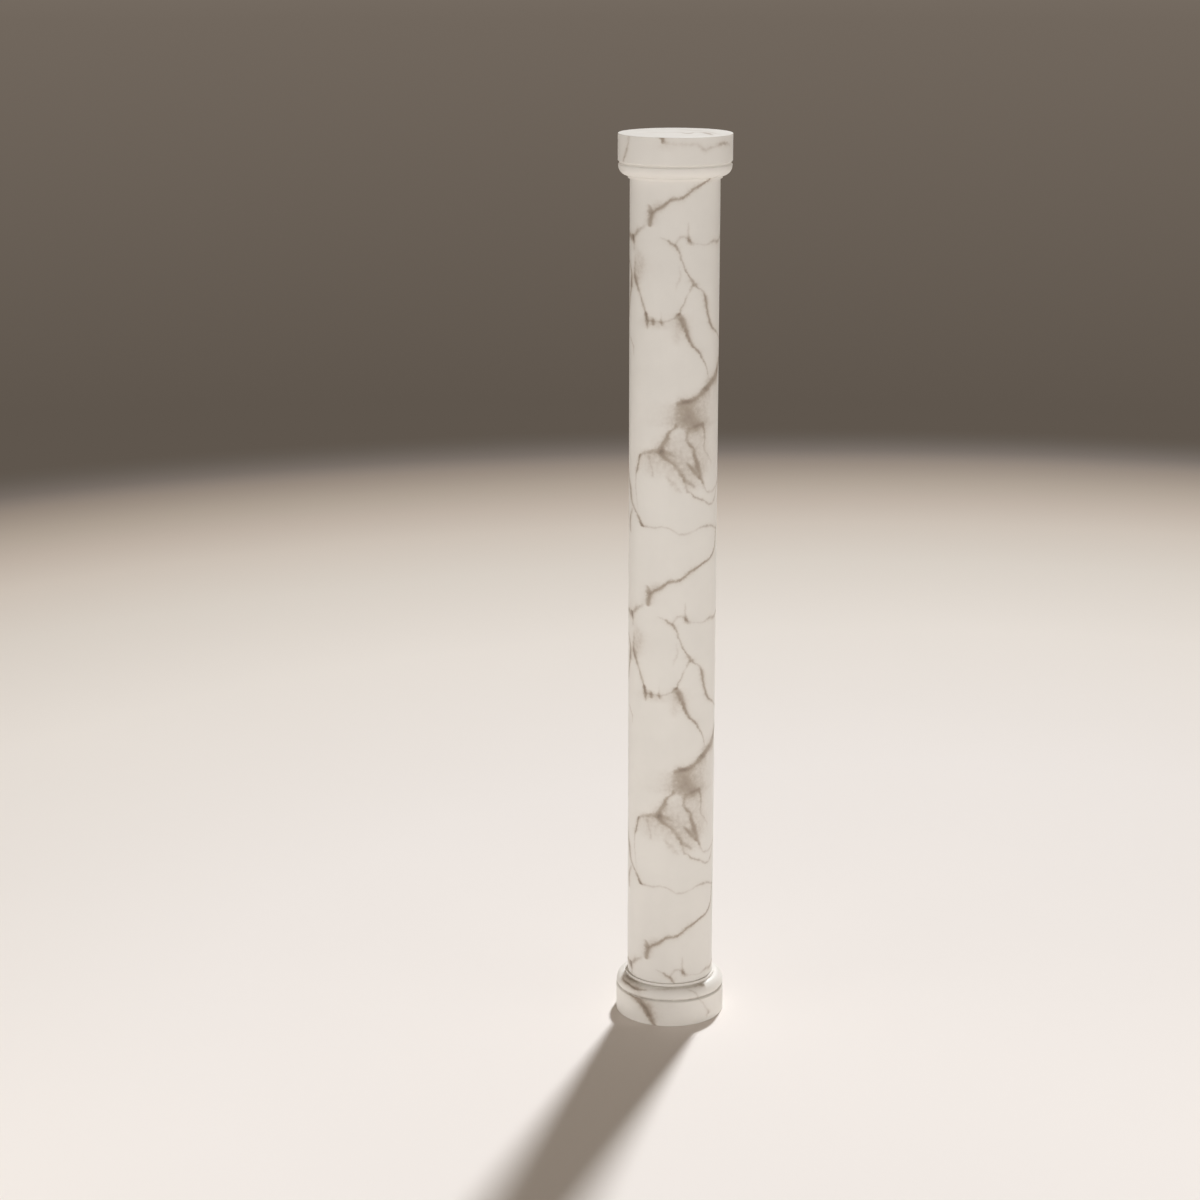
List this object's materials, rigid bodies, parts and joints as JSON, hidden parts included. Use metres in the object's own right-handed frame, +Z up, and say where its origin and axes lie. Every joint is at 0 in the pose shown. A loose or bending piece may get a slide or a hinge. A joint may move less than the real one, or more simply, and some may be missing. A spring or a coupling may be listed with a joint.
{
  "type": "pedestal column stand",
  "caption": "Tall round display column with a plain shaft, a matching turned moulding as base and capital, a clamping tie rod, ballast and screw-down levelling feet.",
  "frame": {"origin": "centre of the base's underside, on the floor", "axes": "+Z up the column's axis; +Y towards the back, where the laminate's seam is; +X to the right of someone who faces the front"},
  "size_m": [0.3, 0.3, 2.44],
  "materials": {
    "cast_marble": "polished cast marble, gel-coated",
    "marble_laminate": "printed marble laminate under a gloss lacquer",
    "wound_tube": "spirally wound board, uncoated",
    "plywood": "birch plywood, sawn edge",
    "ballast_steel": "torch-cut plate with a thin black primer",
    "zinc_steel": "bright zinc plate",
    "brass": "turned, unpolished",
    "nylon": "moulded black nylon"
  },
  "bodies": {
    "root": {"base_moulding": "cast_marble", "capital_moulding": "cast_marble", "shaft_skin": "marble_laminate", "shaft_tube": "wound_tube", "lower_spigot": "plywood", "upper_spigot": "plywood", "lower_spigot_screws": "zinc_steel", "upper_spigot_screws": "zinc_steel", "ballast_plate_1": "ballast_steel", "ballast_plate_2": "ballast_steel", "ballast_plate_3": "ballast_steel", "ballast_plate_4": "ballast_steel", "ballast_washer": "zinc_steel", "ballast_nut": "zinc_steel", "tie_rod": "zinc_steel", "capital_insert": "brass", "base_washer": "zinc_steel", "base_nut": "zinc_steel", "foot_inserts": "brass"},
    "foot_pad_1": {"foot_pad_1": "nylon"},
    "foot_stud_1": {"foot_stud_1": "zinc_steel"},
    "foot_pad_2": {"foot_pad_2": "nylon"},
    "foot_stud_2": {"foot_stud_2": "zinc_steel"},
    "foot_pad_3": {"foot_pad_3": "nylon"},
    "foot_stud_3": {"foot_stud_3": "zinc_steel"}
  },
  "joints": [
    {"name": "foot_1_travel", "type": "slide", "parent": "root", "child": "foot_pad_1", "axis": [0, 0, -1], "range_m": [0, 0.01]},
    {"name": "foot_1_turn", "type": "hinge", "parent": "foot_pad_1", "child": "foot_stud_1", "pos_m": [0, 0.095, 0.03], "axis": [0, 0, 1], "range_deg": [0, 2880]},
    {"name": "foot_2_travel", "type": "slide", "parent": "root", "child": "foot_pad_2", "axis": [0, 0, -1], "range_m": [0, 0.01]},
    {"name": "foot_2_turn", "type": "hinge", "parent": "foot_pad_2", "child": "foot_stud_2", "pos_m": [-0.08227, -0.0475, 0.03], "axis": [0, 0, 1], "range_deg": [0, 2880]},
    {"name": "foot_3_travel", "type": "slide", "parent": "root", "child": "foot_pad_3", "axis": [0, 0, -1], "range_m": [0, 0.01]},
    {"name": "foot_3_turn", "type": "hinge", "parent": "foot_pad_3", "child": "foot_stud_3", "pos_m": [0.08227, -0.0475, 0.03], "axis": [0, 0, 1], "range_deg": [0, 2880]}
  ],
  "couplings": [
    {"joint": "foot_1_turn", "follows": "foot_1_travel", "rad_per_m": 5026.5},
    {"joint": "foot_2_turn", "follows": "foot_2_travel", "rad_per_m": 5026.5},
    {"joint": "foot_3_turn", "follows": "foot_3_travel", "rad_per_m": 5026.5}
  ]
}
